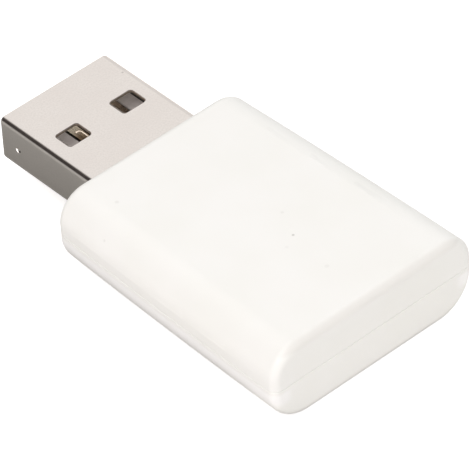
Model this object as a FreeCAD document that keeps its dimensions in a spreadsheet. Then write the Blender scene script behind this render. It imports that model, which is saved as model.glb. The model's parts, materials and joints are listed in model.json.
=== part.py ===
import FreeCAD, Part
import math
import os
import Sketcher

# Signal repeater: a radio repeater in the form of a USB stick.
# Two moulded shells meet at mid height and hold a circuit board, whose plug comes out of the front.
# Frame: X across the stick, +Y the way the plug goes in, Z up, the stick lying on its flat bottom.
# The origin is under the middle of the whole length, on the bottom plane. All lengths are in mm.

Vector = FreeCAD.Vector
TOUCH = 0.001
ANTENNA_FINGERS = 9

# Driving dimensions: name, value, what it is.
SIZES = [
    ("housing_length", 27.3, "housing, front face to rear face"),
    ("rear_width", 22.2, "housing width at the rear face"),
    ("front_width", 20.75, "housing width at the plug end"),
    ("side_crown", 0.1, "how far each long side bows out at its middle"),
    ("housing_height", 7.9, "housing, flat bottom to flat top"),
    ("seam_height", 4.05, "parting line above the bottom"),
    ("rim_bevel", 0.07, "bevel on both rims, which leaves a fine groove along the parting line"),
    ("top_side_radius", 2.9, "rounding of the long top edges"),
    ("round_share", 0.98, "largest rounding, as a share of the wall that it takes up"),
    ("bottom_side_radius", 3.7, "rounding of the long bottom edges"),
    ("end_edge_radius", 0.75, "rounding round each end face"),
    ("wall", 1.1, "side and end walls"),
    ("skin", 1.0, "roof and floor"),
    ("lip_thickness", 0.5, "inner lip of the upper shell"),
    ("lip_height", 0.8, "how deep the lip reaches into the lower shell"),
    ("lip_clearance", 0.05, "gap beside the lip and under it"),
    ("bead_length", 3.0, "snap bead on the lip, along the stick"),
    ("bead_depth", 0.2, "how far a snap bead stands out of the lip"),
    ("bead_height", 0.35, "snap bead, up and down"),
    ("bead_clearance", 0.05, "gap round a snap bead in its recess"),
    ("bead_drop", 0.25, "from the lower rim down to a snap bead"),
    ("bead_spacing", 12.0, "between the two snap beads of one side"),
    ("plug_width", 12.0, "plug shell across"),
    ("plug_height", 4.5, "plug shell, bottom to top"),
    ("plug_sheet", 0.3, "sheet steel of the plug shell"),
    ("plug_bend_radius", 0.5, "outside bend radius of the plug shell"),
    ("mouth_radius", 0.24, "outside rounding of the edge round the plug's mouth"),
    ("plug_reach", 12.33, "plug in front of the housing"),
    ("plug_inside", 5.6, "plug behind the housing's front face"),
    ("plug_roof_gap", 0.35, "plug's top to the roof inside"),
    ("opening_clearance", 0.08, "gap round the plug in the housing"),
    ("window_width", 2.5, "latch window across"),
    ("window_length", 2.1, "latch window along the plug"),
    ("window_spacing", 6.1, "between the middles of the latch windows"),
    ("window_setback", 5.13, "from the plug's tip to the latch windows"),
    ("window_corner", 0.32, "corner radius of the latch windows"),
    ("slit", 0.08, "butt seam along the underside of the plug shell"),
    ("mark_diameter", 0.45, "press mark on the plug's side"),
    ("mark_depth", 0.09, "depth of the press mark, a shallow round dish"),
    ("mark_setback", 2.23, "from the plug's tip to the press mark"),
    ("leg_reach", 1.2, "solder leg's outer face beyond the plug's side"),
    ("leg_width", 1.6, "solder leg along the plug"),
    ("leg_setback", 2.0, "from the plug's rear edge to the middle of its legs"),
    ("leg_proud", 0.4, "solder leg below the board"),
    ("leg_bend_radius", 0.27, "outside bend radius of the solder legs"),
    ("leg_window", 1.5, "opening left in the side by the bent leg"),
    ("tongue_thickness", 1.95, "tongue of the insulator"),
    ("tongue_side_gap", 0.15, "gap at each side of the tongue"),
    ("tongue_setback", 0.5, "tongue's end behind the plug's tip"),
    ("tongue_chamfer", 0.35, "lead-in on the tongue's end"),
    ("cavity_depth", 11.8, "free depth of the plug above the tongue"),
    ("contact_width", 1.0, "contact strip across"),
    ("contact_sheet", 0.2, "contact strip thickness"),
    ("contact_rise", 0.03, "contact strip above the tongue"),
    ("contact_play", 0.03, "gap above and behind a contact in its groove"),
    ("groove_play", 0.12, "gap at each side of a contact in its groove"),
    ("inner_spacing", 2.0, "between the two data contacts"),
    ("outer_spacing", 7.0, "between the power and ground contacts"),
    ("outer_setback", 1.4, "end of the power and ground contacts behind the plug's tip"),
    ("data_delay", 1.0, "how much later the data contacts begin"),
    ("contact_lead", 0.3, "slope at the end of a contact"),
    ("tail_exit", 0.25, "straight tail behind the insulator"),
    ("tail_slope_length", 0.35, "length over which the tail slopes down"),
    ("tail_drop", 0.23, "how far the tail steps down to the board"),
    ("tail_pad", 1.3, "tail lying on the board"),
    ("board_thickness", 1.0, "main board"),
    ("board_side_gap", 0.7, "main board to the side walls at the front"),
    ("board_front_gap", 0.25, "main board to the front wall"),
    ("board_rear_gap", 0.7, "main board to the rear wall"),
    ("board_plug_gap", 0.2, "cut-out of the main board round the plug"),
    ("board_corner", 0.5, "corner radius of the main board"),
    ("leg_slot_play", 0.08, "gap round a solder leg in its slot"),
    ("pin_diameter", 1.2, "locating pin of the lower shell"),
    ("pin_clearance", 0.05, "gap round a pin in the board and in the boss"),
    ("pin_proud", 0.8, "pin above the board"),
    ("pin_bevel", 0.15, "bevel on a pin's end"),
    ("pin_edge", 1.05, "from the board's edge to a pin's axis"),
    ("pin_setback", 2.2, "from the plug's rear edge back to the pins"),
    ("post_diameter", 2.5, "post under the board and boss above it"),
    ("front_post_length", 0.9, "posts at the board's front edge, along Y"),
    ("rear_post_length", 0.9, "posts at the board's rear edge, along Y"),
    ("rear_post_width", 2.0, "posts at the board's rear edge, across"),
    ("rear_post_spacing", 13.0, "between the middles of the rear posts"),
    ("thrust_rib_width", 1.0, "ribs behind the board that take the push of plugging in"),
    ("thrust_rib_spacing", 7.0, "between the middles of the thrust ribs"),
    ("cradle_width", 8.0, "rib that bears on the plug, across"),
    ("cradle_length", 0.8, "rib that bears on the plug, along Y"),
    ("cradle_setback", 3.2, "from the front face to the cradle rib"),
    ("rib_root", 0.3, "how far ribs and posts run into the wall that carries them"),
    ("module_width", 12.0, "radio board across"),
    ("module_length", 12.4, "radio board along Y"),
    ("module_thickness", 0.6, "radio board"),
    ("module_rear_gap", 1.3, "radio board to the main board's rear edge"),
    ("edge_pad_diameter", 0.8, "half-round solder pads in the radio board's edges"),
    ("edge_pad_pitch", 2.0, "spacing of the half-round pads"),
    ("can_width", 11.0, "shield can across"),
    ("can_length", 7.6, "shield can along Y"),
    ("can_sheet", 0.2, "sheet of the shield can"),
    ("can_roof_gap", 0.4, "shield can to the housing's roof"),
    ("can_front_gap", 0.3, "shield can to the radio board's front edge"),
    ("can_bevel", 0.15, "broken edge round the shield can's top"),
    ("can_corner", 0.5, "corner radius of the shield can"),
    ("vent_diameter", 0.6, "vent holes in the shield can"),
    ("vent_pitch", 1.8, "spacing of the vent holes"),
    ("radio_size", 6.0, "radio chip, both ways"),
    ("radio_height", 0.85, "radio chip"),
    ("radio_bevel", 0.08, "bevel round the radio chip's top"),
    ("radio_x", -1.6, "radio chip's middle from the radio board's middle line"),
    ("crystal_length", 2.5, "clock crystal along Y"),
    ("crystal_width", 2.0, "clock crystal across"),
    ("crystal_height", 0.6, "clock crystal"),
    ("crystal_lid", 0.18, "clock crystal's lid above its tray"),
    ("crystal_x", 3.6, "crystal's middle from the radio board's middle line"),
    ("trace_width", 0.4, "line width of the printed antenna"),
    ("trace_thickness", 0.05, "printed antenna"),
    ("trace_pitch", 1.0, "spacing of the antenna's fingers"),
    ("finger_length", 2.4, "fingers of the antenna"),
    ("antenna_margin", 0.5, "antenna to the radio board's rear edge"),
    ("chip_length", 1.6, "small resistor or capacitor, end to end"),
    ("chip_width", 0.8, "small resistor or capacitor, side to side"),
    ("chip_cap", 0.3, "metal end of a small part"),
    ("cap_proud", 0.03, "metal end standing out beyond a small part's body"),
    ("capacitor_height", 0.8, "decoupling capacitor"),
    ("resistor_height", 0.45, "resistor"),
    ("decoupling_pitch", 3.2, "spacing of the decoupling capacitors"),
    ("decoupling_setback", 2.9, "decoupling capacitors behind the plug"),
    ("led_setback", 5.6, "status light behind the plug"),
    ("resistor_setback", 5.6, "first resistor behind the plug"),
    ("resistor_pitch", 2.6, "spacing of the resistors"),
    ("matching_length", 1.0, "antenna matching part, across the board"),
    ("matching_width", 0.5, "antenna matching part, along Y"),
    ("lead_height", 0.15, "flat leads of the small circuits"),
    ("lead_width", 0.4, "leads of the small circuits, across"),
    ("lead_length", 0.6, "leads beyond the body of the small circuits"),
    ("lead_pitch", 0.95, "spacing of the leads of the small circuits"),
]

# Parts under the main board: length across, width along Y, height, middle in X, distance behind the plug.
UNDER_BOARD = {
    "ferrite_bead": (2.0, 1.25, 0.9, -3.5, 2.2),
    "surge_diode": (2.9, 1.3, 1.0, 0.0, 2.6),
    "resettable_fuse": (3.2, 1.6, 0.8, 3.6, 2.2),
    "output_capacitor": (2.0, 1.25, 1.0, -3.4, 6.4),
    "voltage_regulator": (2.9, 1.6, 1.0, 0.0, 6.8),
    "input_capacitor": (3.2, 1.6, 1.0, 3.8, 6.4),
}
for part_name, values in UNDER_BOARD.items():
    for what, value in zip(("length", "width", "height", "x", "setback"), values):
        SIZES.append((f"{part_name}_{what}", value, f"{part_name}, {what}"))

# Places and sizes that follow from the driving dimensions: name, formula.
PLACES = [
    ("tip_y", "(Sizes.housing_length + Sizes.plug_reach) / 2"),
    ("front_y", "tip_y - Sizes.plug_reach"),
    ("rear_y", "-tip_y"),
    ("middle_y", "(front_y + rear_y) / 2"),
    ("rim", "Sizes.seam_height"),
    ("ledge", "rim - Sizes.lip_height"),
    ("lip_end", "ledge + Sizes.lip_clearance"),
    ("floor", "Sizes.skin"),
    ("roof", "Sizes.housing_height - Sizes.skin"),
    ("lower_round", "min(Sizes.bottom_side_radius; rim * Sizes.round_share)"),
    ("upper_round", "min(Sizes.top_side_radius; (Sizes.housing_height - rim) * Sizes.round_share)"),
    ("lower_inner_round", "min(lower_round - Sizes.wall; (rim - floor) * Sizes.round_share)"),
    ("upper_inner_round", "min(upper_round - Sizes.wall; (roof - rim) * Sizes.round_share)"),
    ("lip_inset", "Sizes.wall - Sizes.lip_thickness"),
    ("rebate_inset", "lip_inset - Sizes.lip_clearance"),
    ("plug_half", "Sizes.plug_width / 2"),
    ("plug_top", "roof - Sizes.plug_roof_gap"),
    ("plug_bottom", "plug_top - Sizes.plug_height"),
    ("plug_axis", "(plug_top + plug_bottom) / 2"),
    ("plug_rear", "front_y - Sizes.plug_inside"),
    ("inner_half", "plug_half - Sizes.plug_sheet"),
    ("inner_bottom", "plug_bottom + Sizes.plug_sheet"),
    ("inner_top", "plug_top - Sizes.plug_sheet"),
    ("inner_bend", "max(Sizes.plug_bend_radius - Sizes.plug_sheet; 0.02)"),
    ("tongue_half", "inner_half - Sizes.tongue_side_gap"),
    ("tongue_end", "tip_y - Sizes.tongue_setback"),
    ("mark_ball", "(Sizes.mark_diameter ^ 2 / 4 + Sizes.mark_depth ^ 2) / (2 * Sizes.mark_depth)"),
    ("tongue_top", "inner_bottom + Sizes.tongue_thickness"),
    ("contact_top", "tongue_top + Sizes.contact_rise"),
    ("contact_bottom", "contact_top - Sizes.contact_sheet"),
    ("outer_contact_y", "tip_y - Sizes.outer_setback"),
    ("inner_contact_y", "outer_contact_y - Sizes.data_delay"),
    ("board_top", "contact_bottom - Sizes.tail_drop"),
    ("board_bottom", "board_top - Sizes.board_thickness"),
    ("board_half", "Sizes.front_width / 2 - Sizes.wall - Sizes.board_side_gap"),
    ("board_front", "front_y - Sizes.wall - Sizes.board_front_gap"),
    ("board_rear", "rear_y + Sizes.wall + Sizes.board_rear_gap"),
    ("cut_half", "plug_half + Sizes.board_plug_gap"),
    ("cut_rear", "plug_rear - Sizes.board_plug_gap"),
    ("leg_outer", "plug_half + Sizes.leg_reach"),
    ("leg_front", "plug_rear + Sizes.leg_setback + Sizes.leg_width / 2"),
    ("leg_rear", "plug_rear + Sizes.leg_setback - Sizes.leg_width / 2"),
    ("pin_x", "board_half - Sizes.pin_edge"),
    ("pin_y", "plug_rear - Sizes.pin_setback"),
    ("pin_top", "board_top + Sizes.pin_proud"),
    ("module_rear", "board_rear + Sizes.module_rear_gap"),
    ("module_front", "module_rear + Sizes.module_length"),
    ("module_top", "board_top + Sizes.module_thickness"),
    ("can_front", "module_front - Sizes.can_front_gap"),
    ("can_rear", "can_front - Sizes.can_length"),
    ("can_middle", "(can_front + can_rear) / 2"),
    ("can_top", "roof - Sizes.can_roof_gap"),
    ("side_row_x", "(Sizes.module_width / 2 + board_half) / 2"),
]

doc = FreeCAD.newDocument("signal_repeater")


def make_sheets():
    """One sheet with the driving dimensions as plain numbers, one with the formulas that follow."""
    driving = doc.addObject("Spreadsheet::Sheet", "Sizes")
    for row, (alias, value, meaning) in enumerate(SIZES, start=1):
        driving.set(f"A{row}", meaning)
        driving.set(f"B{row}", str(value))
        driving.setAlias(f"B{row}", alias)
    following = doc.addObject("Spreadsheet::Sheet", "Places")
    for row, (alias, formula) in enumerate(PLACES, start=1):
        following.setAlias(f"B{row}", alias)
    for row, (alias, formula) in enumerate(PLACES, start=1):
        following.set(f"B{row}", f"={formula}")
    doc.recompute()
    return driving, following


sizes, places = make_sheets()


def number(expression):
    """The value that an expression on the two sheets has."""
    return float(sizes.evalExpression(expression))


def new_body(label):
    body = doc.addObject("PartDesign::Body", label)
    body.Label = label
    return body


def sketch_on(body, name, role, place):
    """A sketch on one of the body's own planes, moved to a place along the plane's own axis.

    XY_Plane sketches use X and Y, XZ_Plane sketches X and Z, YZ_Plane sketches Y and Z.
    """
    plane = [feature for feature in body.Origin.OriginFeatures if feature.Role == role][0]
    sketch = body.newObject("Sketcher::SketchObject", f"{body.Name}_{name}")
    sketch.AttachmentSupport = [(plane, "")]
    sketch.MapMode = "FlatFace"
    along_normal = f"-({place})" if role == "XZ_Plane" else place
    sketch.setExpression("AttachmentOffset.Base.z", along_normal)
    return sketch


def pin_point(sketch, geometry, vertex, across, up):
    """Hold one point of a sketch at the place that two expressions give."""
    for kind, expression in (("DistanceX", across), ("DistanceY", up)):
        held = Sketcher.Constraint(kind, -1, 1, geometry, vertex, number(expression))
        index = sketch.addConstraint(held)
        sketch.setExpression(f"Constraints[{index}]", expression)


def polygon(sketch, corners):
    """A closed outline of straight lines through corners, each a pair of expressions."""
    first = sketch.GeometryCount
    points = [Vector(number(across), number(up), 0) for across, up in corners]
    following = points[1:] + points[:1]
    for start, end in zip(points, following):
        sketch.addGeometry(Part.LineSegment(start, end), False)
    for index, corner in enumerate(corners):
        after = (index + 1) % len(corners)
        sketch.addConstraint(Sketcher.Constraint("Coincident", first + index, 2, first + after, 1))
        pin_point(sketch, first + index, 1, *corner)


def rectangle(sketch, left, right, low, high):
    polygon(sketch, [(left, low), (right, low), (right, high), (left, high)])


def rectangle_pair(sketch, near, far, low, high):
    """Two rectangles, the second one mirrored across the middle."""
    rectangle(sketch, near, far, low, high)
    rectangle(sketch, f"-({far})", f"-({near})", low, high)


def rounded_rectangle(sketch, left, right, low, high, radius):
    """A rectangle with quarter circles for corners, each held by its two ends and its radius."""
    near_left, near_right = f"({left}) + ({radius})", f"({right}) - ({radius})"
    near_low, near_high = f"({low}) + ({radius})", f"({high}) - ({radius})"
    corners = [
        ((near_right, low), (right, near_low), (near_right, near_low)),
        ((right, near_high), (near_right, high), (near_right, near_high)),
        ((near_left, high), (left, near_high), (near_left, near_high)),
        ((left, near_low), (near_left, low), (near_left, near_low)),
    ]
    first = sketch.GeometryCount
    size = number(radius)
    for quarter, (start, end, centre) in enumerate(corners):
        middle = Vector(number(centre[0]), number(centre[1]), 0)
        turn = math.radians(90 * (quarter - 1))
        whole = Part.Circle(middle, Vector(0, 0, 1), size)
        arc = sketch.addGeometry(Part.ArcOfCircle(whole, turn, turn + math.radians(90)), False)
        pin_point(sketch, arc, 1, *start)
        pin_point(sketch, arc, 2, *end)
        sized = sketch.addConstraint(Sketcher.Constraint("Radius", arc, size))
        sketch.setExpression(f"Constraints[{sized}]", radius)
    for quarter, (_, end, _) in enumerate(corners):
        after = (quarter + 1) % len(corners)
        start = corners[after][0]
        points = [Vector(number(across), number(up), 0) for across, up in (end, start)]
        side = sketch.addGeometry(Part.LineSegment(*points), False)
        sketch.addConstraint(Sketcher.Constraint("Coincident", first + quarter, 2, side, 1))
        sketch.addConstraint(Sketcher.Constraint("Coincident", side, 2, first + after, 1))


def circle(sketch, across, up, diameter):
    centre = Vector(number(across), number(up), 0)
    round_line = Part.Circle(centre, Vector(0, 0, 1), number(diameter) / 2)
    index = sketch.addGeometry(round_line, False)
    pin_point(sketch, index, 3, across, up)
    sized = sketch.addConstraint(Sketcher.Constraint("Diameter", index, number(diameter)))
    sketch.setExpression(f"Constraints[{sized}]", diameter)


def circle_pair(sketch, across, up, diameter):
    circle(sketch, across, up, diameter)
    circle(sketch, f"-({across})", up, diameter)


def hollow_outline(sketch):
    """The hollow seen from above: the housing less its wall, with straight sides that taper."""
    rear_half = "Sizes.rear_width / 2 - Sizes.wall"
    front_half = "Sizes.front_width / 2 - Sizes.wall"
    rear, front = "Places.rear_y + Sizes.wall", "Places.front_y - Sizes.wall"
    polygon(sketch, [
        (f"-({rear_half})", rear),
        (rear_half, rear),
        (front_half, front),
        (f"-({front_half})", front),
    ])


def housing_outline(sketch, inset):
    """The housing seen from above, moved inwards: straight ends and long sides that bow out."""
    rear_half = f"Sizes.rear_width / 2 - ({inset})"
    front_half = f"Sizes.front_width / 2 - ({inset})"
    bow_half = f"(Sizes.rear_width + Sizes.front_width) / 4 + Sizes.side_crown - ({inset})"
    rear = f"Places.rear_y + ({inset})"
    front = f"Places.front_y - ({inset})"
    corners = [
        (f"-({rear_half})", rear),
        (rear_half, rear),
        (front_half, front),
        (f"-({front_half})", front),
    ]
    rear_left, rear_right, front_right, front_left = [
        Vector(number(across), number(up), 0) for across, up in corners
    ]
    bow = number(bow_half)
    middle = number("Places.middle_y")
    rear_line = sketch.addGeometry(Part.LineSegment(rear_left, rear_right), False)
    right_arc = sketch.addGeometry(Part.Arc(rear_right, Vector(bow, middle, 0), front_right), False)
    front_line = sketch.addGeometry(Part.LineSegment(front_right, front_left), False)
    left_arc = sketch.addGeometry(Part.Arc(front_left, Vector(-bow, middle, 0), rear_left), False)
    chain = (rear_line, right_arc, front_line, left_arc)
    for before, after in zip(chain, chain[1:] + chain[:1]):
        sketch.addConstraint(Sketcher.Constraint("Coincident", before, 2, after, 1))
    pin_point(sketch, rear_line, 1, *corners[0])
    pin_point(sketch, rear_line, 2, *corners[1])
    pin_point(sketch, front_line, 1, *corners[2])
    pin_point(sketch, front_line, 2, *corners[3])
    for arc, side in ((right_arc, 1), (left_arc, -1)):
        helper = sketch.addGeometry(Part.Point(Vector(side * bow, middle, 0)), True)
        across = bow_half if side > 0 else f"-({bow_half})"
        pin_point(sketch, helper, 1, across, "Places.middle_y")
        sketch.addConstraint(Sketcher.Constraint("PointOnObject", helper, 1, arc))


def half_width(y):
    """Expression for the housing's half width at a place along Y."""
    share = f"((({y}) - Places.rear_y) / Sizes.housing_length)"
    taper = f"(Sizes.rear_width + (Sizes.front_width - Sizes.rear_width) * {share}) / 2"
    return f"({taper} + 4 * Sizes.side_crown * {share} * (1 - {share}))"


def pad(body, sketch, length, backwards=False):
    feature = body.newObject("PartDesign::Pad", f"{sketch.Name}_pad")
    feature.Profile = sketch
    feature.setExpression("Length", length)
    feature.Reversed = backwards
    return feature


def pocket(body, sketch, length=None, backwards=False):
    """A cut against the sketch's normal, or along it if backwards, and right through with no length."""
    feature = body.newObject("PartDesign::Pocket", f"{sketch.Name}_pocket")
    feature.Profile = sketch
    feature.Reversed = backwards
    if length is None:
        feature.Type = "ThroughAll"
    else:
        feature.setExpression("Length", length)
    doc.recompute()
    removed = feature.BaseFeature.Shape.Volume - feature.Shape.Volume
    if removed <= 0:
        raise RuntimeError(f"{feature.Name} cuts nothing")
    return feature


def edge_points(edge):
    start, end = edge.ParameterRange
    return [edge.valueAt(start), edge.valueAt((start + end) / 2), edge.valueAt(end)]


def lies_at(edge, axis, value):
    """True if an edge lies in the plane where one coordinate has a value."""
    return all(abs(getattr(point, axis) - value) < TOUCH for point in edge_points(edge))


def runs_along(edge, axis, least=0.0):
    """True if an edge is longer along one axis than across it, and longer than the least length."""
    first, _, last = edge_points(edge)
    step = last - first
    along = abs(getattr(step, axis))
    return along > max(least, 0.9 * step.Length) and along > TOUCH


def dress_edges(body, kind, name, size, wanted):
    """Round or bevel the edges of the body's last feature that a test picks."""
    doc.recompute()
    base = body.Tip
    names = [f"Edge{i}" for i, edge in enumerate(base.Shape.Edges, start=1) if wanted(edge)]
    if not names:
        raise RuntimeError(f"{body.Name}_{name} finds no edge")
    feature = body.newObject(f"PartDesign::{kind}", f"{body.Name}_{name}")
    feature.Base = (base, names)
    feature.setExpression("Radius" if kind == "Fillet" else "Size", size)
    return feature


def round_edges(body, name, radius, wanted):
    return dress_edges(body, "Fillet", name, radius, wanted)


def bevel_edges(body, name, size, wanted):
    return dress_edges(body, "Chamfer", name, size, wanted)


def box(name, low, high):
    """A block between two corners, each three expressions."""
    block = doc.addObject("Part::Box", name)
    for side, axis, start, end in zip(("Length", "Width", "Height"), "xyz", low, high):
        block.setExpression(side, f"({end}) - ({start})")
        block.setExpression(f"Placement.Base.{axis}", start)
    return block


def take_away(body, core):
    """Cut another body out of this one."""
    doc.recompute()
    cut = body.newObject("PartDesign::Boolean", f"{body.Name}_hollowing")
    cut.Type = "Cut"
    cut.setObjects([core])
    return cut


def fuse(label, blocks):
    joined = doc.addObject("Part::MultiFuse", label)
    joined.Shapes = blocks
    joined.Refine = True
    joined.Label = label
    return joined


def shell_block(body, rim, far_face, outer_round, inner_round, ceiling, upwards):
    """The moulded half common to both shells: outline, rounded edges and the hollow."""
    outer = sketch_on(body, "outer", "XY_Plane", rim)
    housing_outline(outer, "0")
    depth = f"({far_face}) - ({rim})" if upwards else f"({rim}) - ({far_face})"
    pad(body, outer, depth, backwards=not upwards)
    face = number(far_face)
    level = number(rim)
    long_enough = number("Sizes.housing_length / 2")
    round_edges(
        body, "side_rounding", outer_round,
        lambda edge: lies_at(edge, "z", face) and runs_along(edge, "y", long_enough),
    )
    ends = (number("Places.front_y"), number("Places.rear_y"))
    round_edges(
        body, "end_rounding", "Sizes.end_edge_radius",
        lambda edge: any(lies_at(edge, "y", end) for end in ends) and not lies_at(edge, "z", level),
    )
    bevel_edges(body, "rim_bevel", "Sizes.rim_bevel", lambda edge: lies_at(edge, "z", level))
    # The hollow is a block of its own, rounded like the outside, and then taken away.
    core = new_body(f"{body.Name}_core")
    hollow = sketch_on(core, "hollow", "XY_Plane", rim)
    hollow_outline(hollow)
    room = f"({ceiling}) - ({rim})" if upwards else f"({rim}) - ({ceiling})"
    pad(core, hollow, room, backwards=not upwards)
    inner_face = number(ceiling)
    inner_long = number("(Sizes.housing_length - 2 * Sizes.wall) / 2")
    round_edges(
        core, "rounding", inner_round,
        lambda edge: lies_at(edge, "z", inner_face) and runs_along(edge, "y", inner_long),
    )
    take_away(body, core)


def plug_opening(body):
    """The opening in the front wall, with the plug's own section and a gap all round."""
    opening = sketch_on(body, "opening", "XZ_Plane", "Places.front_y + Sizes.wall")
    gap = "Sizes.opening_clearance"
    rounded_rectangle(
        opening, f"-Places.plug_half - {gap}", f"Places.plug_half + {gap}",
        f"Places.plug_bottom - {gap}", f"Places.plug_top + {gap}", f"Sizes.plug_bend_radius + {gap}",
    )
    pocket(body, opening, "2.5 * Sizes.wall", backwards=True)


def bead_outline(sketch, side, inner, outer, extra):
    """Two strips that follow one long side of the housing, between two insets from its outline."""
    for sign in ("-", "+"):
        centre = f"Places.middle_y {sign} Sizes.bead_spacing / 2"
        rear = f"{centre} - Sizes.bead_length / 2 - ({extra})"
        front = f"{centre} + Sizes.bead_length / 2 + ({extra})"
        corners = [
            (f"{side} * ({half_width(rear)} - ({inner}))", rear),
            (f"{side} * ({half_width(front)} - ({inner}))", front),
            (f"{side} * ({half_width(front)} - ({outer}))", front),
            (f"{side} * ({half_width(rear)} - ({outer}))", rear),
        ]
        polygon(sketch, corners)


def board_posts(body, start, end, name):
    """Posts at the board's front arms and rear corners, between two levels, sketched at the first."""
    posts = sketch_on(body, name, "XY_Plane", start)
    rectangle_pair(
        posts,
        "Places.leg_outer - Sizes.leg_reach / 2",
        "Places.board_half - Sizes.lip_clearance",
        "Places.board_front - Sizes.front_post_length",
        "Places.board_front",
    )
    rectangle_pair(
        posts,
        "Sizes.rear_post_spacing / 2 - Sizes.rear_post_width / 2",
        "Sizes.rear_post_spacing / 2 + Sizes.rear_post_width / 2",
        "Places.board_rear",
        "Places.board_rear + Sizes.rear_post_length",
    )
    pad(body, posts, f"({end}) - ({start})")


def cradle_rib(body, start, end):
    """The rib across the housing that bears on the plug."""
    rib = sketch_on(body, "cradle", "XY_Plane", start)
    rear = "Places.front_y - Sizes.cradle_setback - Sizes.cradle_length / 2"
    front = "Places.front_y - Sizes.cradle_setback + Sizes.cradle_length / 2"
    rectangle(rib, "-Sizes.cradle_width / 2", "Sizes.cradle_width / 2", rear, front)
    pad(body, rib, f"({end}) - ({start})")


def make_lower_shell():
    body = new_body("lower_shell")
    shell_block(
        body, "Places.rim", "0", "Places.lower_round",
        "Places.lower_inner_round", "Places.floor", upwards=False,
    )
    # The rebate that takes the upper shell's lip, and the recesses for its snap beads.
    rebate = sketch_on(body, "rebate", "XY_Plane", "Places.rim")
    housing_outline(rebate, "Places.rebate_inset")
    pocket(body, rebate, "Sizes.lip_height")
    for side, name in ((1, "right_recess"), (-1, "left_recess")):
        level = "Places.rim - Sizes.bead_drop + Sizes.bead_clearance"
        recess = sketch_on(body, name, "XY_Plane", level)
        deep = "Places.lip_inset - Sizes.bead_depth - Sizes.bead_clearance"
        bead_outline(recess, side, "Places.lip_inset", deep, "Sizes.bead_clearance")
        pocket(body, recess, "Sizes.bead_height + 2 * Sizes.bead_clearance")
    plug_opening(body)
    root = "Places.floor - Sizes.rib_root"
    board_posts(body, root, "Places.board_bottom", "posts")
    # Round posts beside the plug, each with a locating pin that passes through the board.
    round_posts = sketch_on(body, "round_posts", "XY_Plane", root)
    circle_pair(round_posts, "Places.pin_x", "Places.pin_y", "Sizes.post_diameter")
    pad(body, round_posts, f"Places.board_bottom - ({root})")
    pins = sketch_on(body, "pins", "XY_Plane", root)
    circle_pair(pins, "Places.pin_x", "Places.pin_y", "Sizes.pin_diameter")
    pad(body, pins, f"Places.pin_top - ({root})")
    pin_top = number("Places.pin_top")
    bevel_edges(body, "pin_bevel", "Sizes.pin_bevel", lambda edge: lies_at(edge, "z", pin_top))
    # Ribs on the rear wall, behind the board's edge, take the push of plugging in.
    thrust = sketch_on(body, "thrust", "XY_Plane", root)
    rectangle_pair(
        thrust,
        "Sizes.thrust_rib_spacing / 2 - Sizes.thrust_rib_width / 2",
        "Sizes.thrust_rib_spacing / 2 + Sizes.thrust_rib_width / 2",
        "Places.rear_y + Sizes.wall - Sizes.rib_root",
        "Places.board_rear",
    )
    pad(body, thrust, f"Places.ledge - ({root})")
    cradle_rib(body, root, "Places.plug_bottom")
    return body


def make_upper_shell():
    body = new_body("upper_shell")
    shell_block(
        body, "Places.rim", "Sizes.housing_height", "Places.upper_round",
        "Places.upper_inner_round", "Places.roof", upwards=True,
    )
    # The inner lip drops into the lower shell's rebate, and the two rims close on each other.
    lip = sketch_on(body, "lip", "XY_Plane", "Places.lip_end")
    housing_outline(lip, "Places.lip_inset")
    hollow_outline(lip)
    pad(body, lip, "Places.rim - Places.lip_end + Sizes.rib_root")
    for side, name in ((1, "right_beads"), (-1, "left_beads")):
        level = "Places.rim - Sizes.bead_drop - Sizes.bead_height"
        beads = sketch_on(body, name, "XY_Plane", level)
        proud = "Places.lip_inset - Sizes.bead_depth"
        bead_outline(beads, side, "Sizes.wall - Sizes.lip_thickness / 2", proud, "0")
        pad(body, beads, "Sizes.bead_height")
    plug_opening(body)
    reach = "Places.roof + Sizes.rib_root"
    board_posts(body, "Places.board_top", reach, "hold_downs")
    # Bosses press on the board round the locating pins, whose ends they take.
    bosses = sketch_on(body, "bosses", "XY_Plane", "Places.board_top")
    circle_pair(bosses, "Places.pin_x", "Places.pin_y", "Sizes.post_diameter")
    pad(body, bosses, f"{reach} - Places.board_top")
    bores = sketch_on(body, "bores", "XY_Plane", "Places.board_top")
    bore = "Sizes.pin_diameter + 2 * Sizes.pin_clearance"
    circle_pair(bores, "Places.pin_x", "Places.pin_y", bore)
    pocket(body, bores, "Sizes.pin_proud + 4 * Sizes.pin_clearance", backwards=True)
    cradle_rib(body, "Places.plug_top", reach)
    return body


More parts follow.
